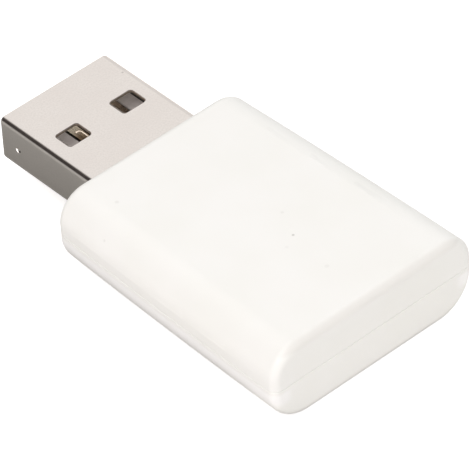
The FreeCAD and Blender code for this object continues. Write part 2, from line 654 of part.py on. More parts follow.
def make_plug_shell():
    """The folded steel shell of the plug, with latch windows, a butt seam below and two solder legs."""
    body = new_body("plug_shell")
    outer = sketch_on(body, "outer", "XZ_Plane", "Places.plug_rear")
    rounded_rectangle(
        outer, "-Places.plug_half", "Places.plug_half", "Places.plug_bottom", "Places.plug_top",
        "Sizes.plug_bend_radius",
    )
    length = "Places.tip_y - Places.plug_rear"
    pad(body, outer, length, backwards=True)
    # The edge round the mouth is coined round, which leads the plug into its socket.
    tip = number("Places.tip_y")
    round_edges(body, "mouth_edge", "Sizes.mouth_radius", lambda edge: lies_at(edge, "y", tip))
    inner = sketch_on(body, "inner", "XZ_Plane", "Places.plug_rear")
    rounded_rectangle(
        inner, "-Places.inner_half", "Places.inner_half", "Places.inner_bottom", "Places.inner_top",
        "Places.inner_bend",
    )
    pocket(body, inner, length)
    windows = sketch_on(body, "windows", "XY_Plane", "Places.plug_top + Sizes.plug_sheet")
    near = "Sizes.window_spacing / 2 - Sizes.window_width / 2"
    far = "Sizes.window_spacing / 2 + Sizes.window_width / 2"
    rear = "Places.tip_y - Sizes.window_setback - Sizes.window_length"
    front = "Places.tip_y - Sizes.window_setback"
    for left, right in ((near, far), (f"-({far})", f"-({near})")):
        rounded_rectangle(windows, left, right, rear, front, "Sizes.window_corner")
    pocket(body, windows)
    seam = sketch_on(body, "seam", "XY_Plane", "Places.inner_bottom + Sizes.plug_sheet")
    rectangle(seam, "-Sizes.slit / 2", "Sizes.slit / 2", "Places.plug_rear", "Places.tip_y")
    pocket(body, seam, "2.5 * Sizes.plug_sheet")
    # Each leg is lanced out of the side, bent outwards over the board and down through its slot.
    gaps = sketch_on(body, "leg_windows", "YZ_Plane", "Places.plug_half + 1")
    gap_low = "Places.board_top + Sizes.plug_sheet"
    rectangle(gaps, "Places.leg_rear", "Places.leg_front", gap_low, f"{gap_low} + Sizes.leg_window")
    pocket(body, gaps)
    ears = sketch_on(body, "ears", "XY_Plane", "Places.board_top")
    rectangle_pair(ears, "Places.inner_half", "Places.leg_outer", "Places.leg_rear", "Places.leg_front")
    pad(body, ears, "Sizes.plug_sheet")
    legs = sketch_on(body, "legs", "XY_Plane", "Places.board_bottom - Sizes.leg_proud")
    leg_inner = "Places.leg_outer - Sizes.plug_sheet"
    rectangle_pair(legs, leg_inner, "Places.leg_outer", "Places.leg_rear", "Places.leg_front")
    pad(body, legs, "Sizes.leg_proud + Sizes.board_thickness + Sizes.plug_sheet")
    leg_outer = number("Places.leg_outer")
    ear_top = number(gap_low)

    def leg_bend(edge):
        beside = any(lies_at(edge, "x", place) for place in (leg_outer, -leg_outer))
        return beside and lies_at(edge, "z", ear_top)

    round_edges(body, "leg_bends", "Sizes.leg_bend_radius", leg_bend)
    press_mark(body)
    return body


def press_mark(body):
    """The shallow round dish in the left side of the plug: a ball that dips into the sheet."""
    doc.recompute()
    ball = body.newObject("PartDesign::SubtractiveSphere", f"{body.Name}_press_mark")
    ball.setExpression("Radius", "Places.mark_ball")
    middle = (
        "-Places.plug_half - Places.mark_ball + Sizes.mark_depth",
        "Places.tip_y - Sizes.mark_setback",
        "Places.plug_axis",
    )
    for axis, place in zip("xyz", middle):
        ball.setExpression(f"Placement.Base.{axis}", place)
    doc.recompute()
    if ball.Shape.Volume >= ball.BaseFeature.Shape.Volume:
        raise RuntimeError(f"{ball.Name} cuts nothing")


def make_plug_insulator():
    """The moulded block that fills the rear of the plug, with the tongue that carries the contacts."""
    body = new_body("plug_insulator")
    block = sketch_on(body, "block", "XZ_Plane", "Places.plug_rear")
    rounded_rectangle(
        block, "-Places.inner_half", "Places.inner_half", "Places.inner_bottom", "Places.inner_top",
        "Places.inner_bend + Sizes.contact_play",
    )
    pad(body, block, "Places.tip_y - Sizes.cavity_depth - Places.plug_rear", backwards=True)
    tongue = sketch_on(body, "tongue", "XZ_Plane", "Places.plug_rear")
    rectangle(tongue, "-Places.tongue_half", "Places.tongue_half", "Places.inner_bottom", "Places.tongue_top")
    pad(body, tongue, "Places.tongue_end - Places.plug_rear", backwards=True)
    tongue_half = number("Places.tongue_half")
    tongue_end = number("Places.tongue_end")
    tongue_top = number("Places.tongue_top")
    low = number("Places.inner_bottom")

    def tongue_corner(edge):
        beside = any(lies_at(edge, "x", place) for place in (tongue_half, -tongue_half))
        return beside and lies_at(edge, "z", low) and runs_along(edge, "y")

    round_edges(body, "tongue_edges", "Sizes.tongue_side_gap", tongue_corner)
    bevel_edges(
        body, "tongue_lead", "Sizes.tongue_chamfer",
        lambda edge: lies_at(edge, "y", tongue_end) and lies_at(edge, "z", tongue_top),
    )
    contact_ends = {"inner": "Places.inner_contact_y", "outer": "Places.outer_contact_y"}
    for which, end in contact_ends.items():
        grooves = sketch_on(body, f"{which}_grooves", "XZ_Plane", "Places.plug_rear")
        groove_half = "(Sizes.contact_width / 2 + Sizes.groove_play)"
        rectangle_pair(
            grooves,
            f"Sizes.{which}_spacing / 2 - {groove_half}",
            f"Sizes.{which}_spacing / 2 + {groove_half}",
            "Places.contact_bottom",
            "Places.contact_top + Sizes.contact_play",
        )
        pocket(body, grooves, f"{end} + Sizes.contact_play - Places.plug_rear")
    return body


def make_contact(label, centre, end):
    """A contact strip: along the tongue, through the block and stepped down to the board behind it."""
    body = new_body(label)
    profile = sketch_on(body, "profile", "YZ_Plane", f"{centre} - Sizes.contact_width / 2")
    leave = "(Places.plug_rear - Sizes.tail_exit)"
    land = f"({leave} - Sizes.tail_slope_length)"
    finish = f"({land} - Sizes.tail_pad)"
    tail_top = "Places.board_top + Sizes.contact_sheet"
    polygon(profile, [
        (end, "Places.contact_bottom"),
        (end, "Places.contact_top - Sizes.contact_sheet / 2"),
        (f"{end} - Sizes.contact_lead", "Places.contact_top"),
        (leave, "Places.contact_top"),
        (land, tail_top),
        (finish, tail_top),
        (finish, "Places.board_top"),
        (land, "Places.board_top"),
        (leave, "Places.contact_bottom"),
    ])
    pad(body, profile, "Sizes.contact_width")
    return body


def make_main_board():
    """The main board: a plate with a cut-out for the plug, pin holes and slots for the plug's legs."""
    body = new_body("main_board")
    plate = sketch_on(body, "plate", "XY_Plane", "Places.board_bottom")
    polygon(plate, [
        ("-Places.board_half", "Places.board_rear"),
        ("Places.board_half", "Places.board_rear"),
        ("Places.board_half", "Places.board_front"),
        ("Places.cut_half", "Places.board_front"),
        ("Places.cut_half", "Places.cut_rear"),
        ("-Places.cut_half", "Places.cut_rear"),
        ("-Places.cut_half", "Places.board_front"),
        ("-Places.board_half", "Places.board_front"),
    ])
    pad(body, plate, "Sizes.board_thickness")
    board_half = number("Places.board_half")
    round_edges(
        body, "corners", "Sizes.board_corner",
        lambda edge: runs_along(edge, "z") and abs(abs(edge_points(edge)[0].x) - board_half) < TOUCH,
    )
    holes = sketch_on(body, "holes", "XY_Plane", "Places.board_top + 1")
    circle_pair(holes, "Places.pin_x", "Places.pin_y", "Sizes.pin_diameter + 2 * Sizes.pin_clearance")
    rectangle_pair(
        holes,
        "Places.leg_outer - Sizes.plug_sheet - Sizes.leg_slot_play",
        "Places.leg_outer + Sizes.leg_slot_play",
        "Places.leg_rear - Sizes.leg_slot_play",
        "Places.leg_front + Sizes.leg_slot_play",
    )
    pocket(body, holes)
    return body


def make_module_board():
    """The radio board: a thin plate with half-round solder pads along both long edges."""
    body = new_body("module_board")
    half = "Sizes.module_width / 2"
    plate = sketch_on(body, "plate", "XY_Plane", "Places.board_top")
    rectangle(plate, f"-{half}", half, "Places.module_rear", "Places.module_front")
    pad(body, plate, "Sizes.module_thickness")
    notch = sketch_on(body, "notch", "XY_Plane", "Places.module_top + 1")
    circle_pair(notch, half, "Places.module_front - Sizes.edge_pad_pitch", "Sizes.edge_pad_diameter")
    notches = pocket(body, notch)
    row = body.newObject("PartDesign::LinearPattern", f"{body.Name}_row")
    row.Originals = [notches]
    row.Direction = (notch, ["V_Axis"])
    row.Reversed = True
    row.Occurrences = int(number("(Sizes.module_length - Sizes.edge_pad_pitch) / Sizes.edge_pad_pitch"))
    row.setExpression("Length", f"Sizes.edge_pad_pitch * ({row.Occurrences} - 1)")
    body.Tip = row
    return body


def make_shield_can():
    """The pressed cover over the radio parts, open below, with vent holes in its top."""
    body = new_body("shield_can")
    half = "Sizes.can_width / 2"
    outer = sketch_on(body, "outer", "XY_Plane", "Places.module_top")
    rounded_rectangle(outer, f"-{half}", half, "Places.can_rear", "Places.can_front", "Sizes.can_corner")
    pad(body, outer, "Places.can_top - Places.module_top")
    top = number("Places.can_top")
    bevel_edges(body, "top_edge", "Sizes.can_bevel", lambda edge: lies_at(edge, "z", top))
    inner = sketch_on(body, "inner", "XY_Plane", "Places.module_top")
    rounded_rectangle(
        inner, f"-({half} - Sizes.can_sheet)", f"{half} - Sizes.can_sheet",
        "Places.can_rear + Sizes.can_sheet", "Places.can_front - Sizes.can_sheet",
        "Sizes.can_corner - Sizes.can_sheet",
    )
    pocket(body, inner, "Places.can_top - Places.module_top - Sizes.can_sheet", backwards=True)
    vents = sketch_on(body, "vents", "XY_Plane", "Places.can_top + 1")
    for column in (-1, 0, 1):
        across = f"{column} * Sizes.vent_pitch"
        circle(vents, across, "Places.can_middle - Sizes.vent_pitch / 2", "Sizes.vent_diameter")
    first_row = pocket(body, vents, "1 + 1.5 * Sizes.can_sheet")
    rows = body.newObject("PartDesign::LinearPattern", f"{body.Name}_rows")
    rows.Originals = [first_row]
    rows.Direction = (vents, ["V_Axis"])
    rows.Occurrences = 2
    rows.setExpression("Length", "Sizes.vent_pitch")
    body.Tip = rows
    return body


def make_radio_chip():
    body = new_body("radio_chip")
    plan = sketch_on(body, "plan", "XY_Plane", "Places.module_top")
    half = "Sizes.radio_size / 2"
    rectangle(
        plan, f"Sizes.radio_x - {half}", f"Sizes.radio_x + {half}",
        f"Places.can_middle - {half}", f"Places.can_middle + {half}",
    )
    pad(body, plan, "Sizes.radio_height")
    top = number("Places.module_top + Sizes.radio_height")
    bevel_edges(body, "edge", "Sizes.radio_bevel", lambda edge: lies_at(edge, "z", top))
    return body


def make_module_crystal():
    """The clock crystal: a metal lid on a ceramic tray."""
    half_x = "Sizes.crystal_width / 2"
    half_y = "Sizes.crystal_length / 2"
    rim = "Sizes.can_sheet"
    middle = "Places.module_top + Sizes.crystal_height - Sizes.crystal_lid"
    tray = box(
        "crystal_tray",
        (f"Sizes.crystal_x - {half_x}", f"Places.can_middle - {half_y}", "Places.module_top"),
        (f"Sizes.crystal_x + {half_x}", f"Places.can_middle + {half_y}", middle),
    )
    lid = box(
        "crystal_lid",
        (f"Sizes.crystal_x - {half_x} + {rim}", f"Places.can_middle - {half_y} + {rim}", middle),
        (f"Sizes.crystal_x + {half_x} - {rim}", f"Places.can_middle + {half_y} - {rim}",
         "Places.module_top + Sizes.crystal_height"),
    )
    return fuse("module_crystal", [tray, lid])


def make_antenna_trace():
    """The printed antenna: fingers joined in turn at their front and rear ends."""
    fingers = ANTENNA_FINGERS
    rear = "(Places.module_rear + Sizes.antenna_margin)"
    front = f"({rear} + Sizes.finger_length)"
    top = "Places.module_top + Sizes.trace_thickness"
    strips = []
    for index in range(fingers):
        left = f"(({index} - {(fingers - 1) / 2}) * Sizes.trace_pitch - Sizes.trace_width / 2)"
        right = f"({left} + Sizes.trace_width)"
        low = (left, rear, "Places.module_top")
        strips.append(box(f"antenna_finger_{index}", low, (right, front, top)))
        if index < fingers - 1:
            at_front = index % 2 == 0
            bar_rear = f"({front} - Sizes.trace_width)" if at_front else rear
            bar_low = (left, bar_rear, "Places.module_top")
            bar_high = (f"{right} + Sizes.trace_pitch", f"{bar_rear} + Sizes.trace_width", top)
            strips.append(box(f"antenna_bar_{index}", bar_low, bar_high))
    return fuse("antenna_trace", strips)


def capped_chip(label, length, width, height, x, y, z, along_y=False):
    """A small ceramic part with a metal cap at each end, given by its middle and its base level."""
    inset = "Sizes.cap_proud"
    half = (f"({length}) / 2", f"({width}) / 2")
    across, along = (half[1], half[0]) if along_y else half
    low = {"x": f"({x}) - {across}", "y": f"({y}) - {along}"}
    high = {"x": f"({x}) + {across}", "y": f"({y}) + {along}"}
    end_axis, side_axis = ("y", "x") if along_y else ("x", "y")
    top = f"({z}) + ({height})"

    def block(name, lows, highs, ceiling):
        return box(name, (lows["x"], lows["y"], z), (highs["x"], highs["y"], ceiling))

    core_low = {**low, side_axis: f"{low[side_axis]} + {inset}"}
    core_high = {**high, side_axis: f"{high[side_axis]} - {inset}"}
    core = block(f"{label}_core", core_low, core_high, f"{top} - {inset}")
    first_high = {**high, end_axis: f"{low[end_axis]} + Sizes.chip_cap"}
    first = block(f"{label}_first_cap", low, first_high, top)
    second_low = {**low, end_axis: f"{high[end_axis]} - Sizes.chip_cap"}
    second = block(f"{label}_second_cap", second_low, high, top)
    return fuse(label, [core, first, second])


def under_place(label):
    """Middle and base level of a part under the main board."""
    x = f"Sizes.{label}_x"
    y = f"Places.plug_rear - Sizes.{label}_setback"
    z = f"Places.board_bottom - Sizes.{label}_height"
    return x, y, z


def under_chip(label):
    x, y, z = under_place(label)
    sized = (f"Sizes.{label}_length", f"Sizes.{label}_width", f"Sizes.{label}_height")
    return capped_chip(label, *sized, x, y, z)


def leaded_chip(label, front_leads, rear_leads):
    """A small circuit under the main board, with flat leads out of its front and rear sides."""
    x, y, z = under_place(label)
    half_x = f"Sizes.{label}_length / 2"
    half_y = f"Sizes.{label}_width / 2"
    low = (f"{x} - {half_x}", f"{y} - {half_y}", z)
    blocks = [box(f"{label}_case", low, (f"{x} + {half_x}", f"{y} + {half_y}", "Places.board_bottom"))]
    for side, steps in ((1, front_leads), (-1, rear_leads)):
        for index, step in enumerate(steps):
            middle = f"({x} + {step} * Sizes.lead_pitch)"
            end = f"({y} + {side} * ({half_y} + Sizes.lead_length))"
            rear, front = (y, end) if side > 0 else (end, y)
            low = (f"{middle} - Sizes.lead_width / 2", rear, "Places.board_bottom - Sizes.lead_height")
            high = (f"{middle} + Sizes.lead_width / 2", front, "Places.board_bottom")
            where = "front" if side > 0 else "rear"
            blocks.append(box(f"{label}_{where}_lead_{index}", low, high))
    return fuse(label, blocks)


def make_small_parts():
    """The small parts on both faces of the main board and on the radio board."""
    parts = [under_chip(label) for label in (
        "ferrite_bead", "resettable_fuse", "output_capacitor", "input_capacitor",
    )]
    parts.append(leaded_chip("surge_diode", front_leads=(0,), rear_leads=(-1, 1)))
    parts.append(leaded_chip("voltage_regulator", front_leads=(-1, 1), rear_leads=(-1, 0, 1)))
    chip = ("Sizes.chip_length", "Sizes.chip_width")
    for index in range(3):
        x = f"{index - 1} * Sizes.decoupling_pitch"
        y = "Places.plug_rear - Sizes.decoupling_setback"
        label = f"decoupling_capacitor_{index + 1}"
        parts.append(capped_chip(label, *chip, "Sizes.capacitor_height", x, y, "Places.board_top"))
    for index in range(2):
        y = f"Places.plug_rear - Sizes.resistor_setback - {index} * Sizes.resistor_pitch"
        parts.append(capped_chip(
            f"resistor_{index + 1}", *chip, "Sizes.resistor_height",
            "Places.side_row_x", y, "Places.board_top", along_y=True,
        ))
    light = capped_chip(
        "status_led", *chip, "Sizes.resistor_height", "-Places.side_row_x",
        "Places.plug_rear - Sizes.led_setback", "Places.board_top", along_y=True,
    )
    parts.append(light)
    matching_y = "(Places.module_rear + Sizes.antenna_margin + Sizes.finger_length + Sizes.matching_width)"
    parts.append(capped_chip(
        "antenna_matching_part", "Sizes.matching_length", "Sizes.matching_width", "Sizes.matching_width",
        "4 * Sizes.trace_pitch - Sizes.matching_length / 2", matching_y, "Places.module_top",
    ))
    return parts


def make_contacts():
    """Power and ground outside, data lines inside, in the order of a standard plug."""
    made = []
    for label, step, which in (
        ("contact_power", -1, "outer"), ("contact_data_minus", -1, "inner"),
        ("contact_data_plus", 1, "inner"), ("contact_ground", 1, "outer"),
    ):
        centre = f"{step} * Sizes.{which}_spacing / 2"
        made.append(make_contact(label, centre, f"Places.{which}_contact_y"))
    return made


def check(parts):
    """Stop if any feature failed or any part isn't one valid solid."""
    for obj in doc.Objects:
        if "Invalid" in obj.State or "Error" in obj.State:
            raise RuntimeError(f"{obj.Name} failed: {obj.State}")
    for part in parts:
        shape = part.Shape
        if shape.isNull() or not shape.isValid() or len(shape.Solids) != 1:
            raise RuntimeError(f"{part.Label} isn't one valid solid")


def main():
    parts = [make_lower_shell(), make_upper_shell(), make_plug_shell(), make_plug_insulator()]
    parts += make_contacts()
    parts += [make_main_board(), make_module_board(), make_shield_can(), make_radio_chip()]
    parts += [make_module_crystal(), make_antenna_trace()]
    parts += make_small_parts()
    doc.recompute()
    check(parts)
    os.makedirs("parts", exist_ok=True)
    for part in parts:
        part.Shape.exportStep(f"parts/{part.Label}.step")
    print(len(parts), "parts written")
    return parts


parts = main()
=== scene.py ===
import json
import math

import bpy
import numpy as np
from mathutils import Matrix, Vector


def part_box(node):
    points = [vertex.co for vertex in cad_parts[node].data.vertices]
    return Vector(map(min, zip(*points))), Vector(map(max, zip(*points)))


# Signal repeater: a white moulded stick with a plug, lying on a pale floor under soft light.
# Objects are in metres. Sizes and patterns below are given in millimetres and scaled by MM.

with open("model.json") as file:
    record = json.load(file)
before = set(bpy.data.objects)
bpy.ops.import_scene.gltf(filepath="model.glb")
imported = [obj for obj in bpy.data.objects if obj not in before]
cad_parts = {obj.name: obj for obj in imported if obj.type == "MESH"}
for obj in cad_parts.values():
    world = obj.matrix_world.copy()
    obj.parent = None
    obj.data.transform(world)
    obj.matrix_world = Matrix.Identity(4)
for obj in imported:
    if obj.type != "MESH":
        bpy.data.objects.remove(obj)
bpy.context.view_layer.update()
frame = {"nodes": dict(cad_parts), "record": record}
MM = 0.001


def linear(code):
    """An sRGB hex colour as linear red, green, blue and alpha."""
    values = np.array([int(code[start:start + 2], 16) for start in (0, 2, 4)]) / 255
    straight = np.where(values <= 0.04045, values / 12.92, ((values + 0.055) / 1.055) ** 2.4)
    return (*straight.tolist(), 1.0)


def add(tree, kind, inputs=(), output=0, **settings):
    """Adds a node with its settings and inputs, which are values or outputs to link.

    Inputs come in their order, or by name or number. What comes back is one of the outputs.
    """
    node = tree.nodes.new(kind)
    for name, value in settings.items():
        setattr(node, name, value)
    rows = inputs.items() if isinstance(inputs, dict) else enumerate(inputs)
    for name, value in rows:
        if isinstance(value, bpy.types.NodeSocket):
            tree.links.new(value, node.inputs[name])
        else:
            node.inputs[name].default_value = value
    return node.outputs[output]


class Finish:
    """One surface finish: a shader whose colour, roughness and height are built up in layers.

    The place on the model is in mm, as self.place, and along each axis as self.x, y and z.
    """

    def __init__(self, name, colour, **values):
        self.material = bpy.data.materials.new(name)
        self.material.use_nodes = True
        self.tree = self.material.node_tree
        self.shader = self.tree.nodes["Principled BSDF"]
        for socket, value in values.items():
            self.shader.inputs[socket.replace("_", " ")].default_value = value
        self.colour = linear(colour)
        self.shader.inputs["Base Color"].default_value = self.colour
        place = self.add("ShaderNodeTexCoord", output="Object")
        self.place = self.add(
            "ShaderNodeVectorMath", {0: place, "Scale": 1 / MM}, operation="SCALE"
        )
        self.x, self.y, self.z = self.add("ShaderNodeSeparateXYZ", (self.place,)).node.outputs

    def add(self, kind, inputs=(), output=0, **settings):
        """Adds a node to this finish, as add does to any tree."""
        return add(self.tree, kind, inputs, output, **settings)

    def within(self, *limits, most=1.0):
        """Goes up to most where all the values are within their limits, and is 0 elsewhere.

        Each limit is a value, where its soft step begins and where it is full. The steps are
        multiplied.
        """
        share = most
        for value, begins, full in limits:
            share = self.add(
                "ShaderNodeMapRange",
                {"Value": value, "From Min": begins, "From Max": full, "To Max": share},
                interpolation_type="SMOOTHSTEP",
            )
        return share

    def apart(self, value, middle=0.0):
        """How far value is from middle, to either side."""
        past = self.add("ShaderNodeMath", (value, middle), operation="SUBTRACT")
        return self.add("ShaderNodeMath", (past,), operation="ABSOLUTE")

    def diagonal(self, across, along):
        """How far two lengths at right angles reach together."""
        corner = self.add("ShaderNodeCombineXYZ", (across, along))
        return self.add("ShaderNodeVectorMath", (corner,), "Value", operation="LENGTH")

    def patches(self, size, pull=(1, 1, 1), detail=2.0):
        """Soft patches about size mm wide, 0 to 1, longer along an axis whose pull is above 1."""
        squeezed = [1 / (size * share) for share in pull]
        moved = self.add("ShaderNodeMapping", {"Vector": self.place, "Scale": squeezed})
        cloud = self.add(
            "ShaderNodeTexNoise",
            {"Vector": moved, "Scale": 1.0, "Detail": detail, "Roughness": 0.55},
        )
        # The noise keeps mostly to this range. The little that lies beyond is cut off.
        return self.add(
            "ShaderNodeMapRange", {"Value": cloud, "From Min": 0.35, "From Max": 0.65}
        )

    def stain(self, amount, colour, most=1.0):
        """The colour goes over to another one as amount goes to 1, by the share most of the way."""
        share = self.add("ShaderNodeMath", (amount, most), operation="MULTIPLY")
        # On a Mix node the colour sockets are inputs 6 and 7 and output 2.
        self.colour = self.add(
            "ShaderNodeMix", {0: share, 6: self.colour, 7: linear(colour)}, 2, data_type="RGBA"
        )
        self.tree.links.new(self.colour, self.shader.inputs["Base Color"])

    def specks(self, colour, places):
        """Stains small round spots, which fade toward their rims.

        Each has its middle, its radius in mm and its strength.
        """
        for middle, radius, strength in places:
            away = self.add(
                "ShaderNodeVectorMath", (self.place, middle), "Value", operation="DISTANCE"
            )
            self.stain(self.within((away, radius, radius * 0.4)), colour, strength)

    def dull(self, amount, low, high):
        """The roughness goes from low to high as amount goes from 0 to 1."""
        value = self.add("ShaderNodeMapRange", {"Value": amount, "To Min": low, "To Max": high})
        self.tree.links.new(value, self.shader.inputs["Roughness"])

    def lift(self, amount, depth):
        """The surface stands depth mm out where amount is 1, as far as light is concerned."""
        height = self.add("ShaderNodeMath", (amount, depth), operation="MULTIPLY")
        self.facing = self.add(
            "ShaderNodeBump", {"Strength": 1.0, "Distance": MM, "Height": height}
        )
        self.tree.links.new(self.facing, self.shader.inputs["Normal"])

    def tilt(self, amount, toward):
        """A lifted surface faces toward where amount is 1, as far as light is concerned."""
        # On a Mix node the vector sockets are inputs 4 and 5 and output 1.
        self.facing = self.add(
            "ShaderNodeMix", {0: amount, 4: self.facing, 5: toward}, 1, data_type="VECTOR"
        )
        self.tree.links.new(self.facing, self.shader.inputs["Normal"])


# The model's own places and sizes in mm. The first ones are read from the solids.
housing_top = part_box("upper_shell")[1].z / MM
housing_rear, housing_front = [corner.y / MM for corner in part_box("lower_shell")]
plug_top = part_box("plug_shell")[1].z / MM
PARTING_LINE = 4.05
# Half the plug's width, and how high its axis lies.
PLUG_HALF = 6.0
PLUG_AXIS = 4.3
# The sheet of the plug's shell: its thickness, and its bend's outside radius.
SHEET = 0.3
BEND = 0.5
# The press mark's middle along Y and Z.
MARK = (17.6, 4.23)
# The right latch window's middle along X and Y, half its size, and its corners' radius.
WINDOW = (3.05, 13.635)
WINDOW_HALF = (1.25, 1.05)
WINDOW_CORNER = 0.32
# The middle lines of the inner and the outer contacts, to each side, half their width, and
# where the outer ones' grooves end along Y.
CONTACTS = (1.0, 3.5)
CONTACT_HALF = 0.5
GROOVE_END = 18.45
# The painted glint on one contact follows a track round a circle with this middle along X and Y,
# and radius.
TRACK = (-0.99, 15.49)
TRACK_RADIUS = 0.3
# The length of the metal ends of a small chip part.
CAP = 0.3

# The camera is the photograph's own, found from the outline of the housing and the plug.
# The frame's width and the focal length are in pixels, and the sensor's width is in mm.
FRAME_WIDTH = 470
FOCAL_LENGTH = 5194.9
SENSOR_WIDTH = 36.0
YAW, PITCH, ROLL = math.radians(-40.029), math.radians(41.576), math.radians(-3.517)
DISTANCE = 438.817 * MM
TARGET = Vector((4.21, 2.047, -2.076)) * MM


def make_camera():
    """A long lens that looks down on the stick from the left rear, rolled a little."""
    back = Vector((
        math.sin(YAW) * math.cos(PITCH), -math.cos(YAW) * math.cos(PITCH), math.sin(PITCH)
    ))
    level = Vector((math.cos(YAW), math.sin(YAW), 0.0))
    upright = back.cross(level)
    right = level * math.cos(ROLL) + upright * math.sin(ROLL)
    up = upright * math.cos(ROLL) - level * math.sin(ROLL)
    data = bpy.data.cameras.new("camera")
    data.sensor_width = SENSOR_WIDTH
    data.lens = FOCAL_LENGTH / FRAME_WIDTH * SENSOR_WIDTH
    data.clip_start, data.clip_end = 0.01, 20.0
    camera = bpy.data.objects.new("camera", data)
    turned = Matrix((right, up, back)).transposed().to_4x4()
    camera.matrix_world = Matrix.Translation(TARGET + back * DISTANCE) @ turned
    bpy.context.scene.collection.objects.link(camera)
    bpy.context.scene.camera = camera


def make_softbox(name, toward, distance, size, strength, colour):
    """A square lamp facing the stick. Strength is the share of a white card's level it gives."""
    data = bpy.data.lights.new(name, "AREA")
    data.shape = "SQUARE"
    data.size = size
    data.energy = strength * math.pi ** 2 * distance ** 2
    data.color = linear(colour)[:3]
    lamp = bpy.data.objects.new(name, data)
    direction = Vector(toward).normalized()
    lamp.location = direction * distance
    lamp.rotation_mode = "QUATERNION"
    lamp.rotation_quaternion = direction.to_track_quat("Z", "Y")
    bpy.context.scene.collection.objects.link(lamp)


def make_world():
    """A pale studio: brighter beyond the plug's right, with a dark card beyond its left."""
    world = bpy.data.worlds.new("pale_studio")
    world.use_nodes = True
    tree = world.node_tree
    toward = add(tree, "ShaderNodeTexCoord", output="Generated")
    # The level all round, which the regions change one after the other.
    level = 0.55
    # Each region: its middle, the cosines where it begins and is full, and its level.
    for middle, begins, full, reached in (
        ((0.5, 0.75, 0.45), 0.5, 0.85, 0.93),
        ((-0.6, 0.57, 0.56), 0.84, 0.93, 0.04),
    ):
        facing = add(
            tree, "ShaderNodeVectorMath", (toward, Vector(middle).normalized()), "Value",
            operation="DOT_PRODUCT",
        )
        inside = add(
            tree, "ShaderNodeMapRange", {"Value": facing, "From Min": begins, "From Max": full},
            interpolation_type="SMOOTHSTEP",
        )
        level = add(tree, "ShaderNodeMix", {0: inside, 2: level, 3: reached}, data_type="FLOAT")
    background = tree.nodes["Background"]
    tree.links.new(level, background.inputs["Strength"])
    background.inputs["Color"].default_value = linear("FFFFFF")
    bpy.context.scene.world = world


def matt_white_board():
    """Matt white card for the floor: it looks white itself, and still shows the stick's shadow.

    A painted shadow darkens the light it throws back close to the stick's left side and end.
    """
    finish = Finish("matt_white_board", "F2F1EF", Roughness=0.9, Specular_IOR_Level=0.0)
    ray = finish.add("ShaderNodeLightPath").node.outputs
    seen = finish.add(
        "ShaderNodeMath", (ray["Is Camera Ray"], ray["Is Transmission Ray"]), operation="ADD"
    )
    # A glow of this strength takes the lit board up to white, and the shadow stays below it.
    white = 0.6
    glow = finish.add("ShaderNodeMath", (seen, white), operation="MULTIPLY")
    finish.tree.links.new(glow, finish.shader.inputs["Emission Strength"])
    finish.shader.inputs["Emission Color"].default_value = linear("FFFFFF")
    # Painted shadow in the light it throws back: wide along the left side, narrow along the end.
    unseen = finish.add("ShaderNodeMath", (1.0, seen), operation="SUBTRACT")
    beside = finish.within(
        (finish.x, -17, -10.5), (finish.x, 6, -2),
        (finish.y, housing_rear, housing_rear + 7), most=unseen,
    )
    behind = finish.within(
        (finish.x, -14, -9), (finish.x, 12, 7),
        (finish.y, housing_rear - 0.9, housing_rear - 0.1),
        (finish.y, housing_rear + 3, housing_rear + 1), most=unseen,
    )
    painted_floor_shadow = finish.add("ShaderNodeMath", (beside, behind), operation="MAXIMUM")
    finish.stain(painted_floor_shadow, "B8B6B4")
    return finish.material


def make_floor():
    """A wide round table top: points at the radius round a circle, joined as one flat face."""
    radius = 4.0
    angle = np.linspace(0, 2 * math.pi, 64, endpoint=False)
    rim = radius * np.stack([np.cos(angle), np.sin(angle), np.zeros_like(angle)], axis=1)
    mesh = bpy.data.meshes.new("floor")
    mesh.from_pydata(rim.tolist(), [], [list(range(len(rim)))])
    mesh.materials.append(matt_white_board())
    floor = bpy.data.objects.new("floor", mesh)
    bpy.context.scene.collection.objects.link(floor)


def moulded_abs():
    """Injection moulded white ABS from a finely spark-eroded mould: even, satin, faintly warm."""
    finish = Finish("moulded_white_abs", "F8F8F4", Roughness=0.34, IOR=1.53)
    finish.stain(finish.patches(7.0), "F6F6F1")
    # Painted shade: the rounded top rim of each end is a little greyer.
    half = (housing_front - housing_rear) / 2
    from_middle = finish.apart(finish.y, (housing_front + housing_rear) / 2)
    rim = finish.within(
        (from_middle, half - 0.74, half - 0.3),
        (finish.z, housing_top - 0.85, housing_top - 0.45),
    )
    finish.stain(rim, "EFEEE9")
    # Painted light: below the parting line both long sides are a little whiter.
    painted_light_band = finish.within(
        (finish.z, PARTING_LINE - 0.15, PARTING_LINE - 0.55),
        (finish.z, PARTING_LINE - 1.95, PARTING_LINE - 1.15),
        (finish.apart(finish.x), 9.0, 9.8),
    )
    finish.stain(painted_light_band, "FFFFFD")
    # The real texture is about 0.02 mm wide. At 0.14 mm it just shows, as a soft sheen.
    texture = finish.patches(0.14, detail=3.0)
    finish.dull(texture, 0.3, 0.4)
    finish.lift(texture, 0.0012)
    # Dark dust moulded into the surface.
    finish.specks("8C877E", (
        ((0.32, -9.94, housing_top), 0.17, 0.38), ((1.59, -7.25, housing_top), 0.2, 0.1),
        ((-1.05, -10.66, housing_top), 0.22, 0.06), ((-0.33, -14.66, housing_top), 0.26, 0.08),
        ((-7.12, 3.38, housing_top), 0.24, 0.12), ((-10.11, 1.66, 6.6), 0.16, 0.12),
    ))
    return finish.material


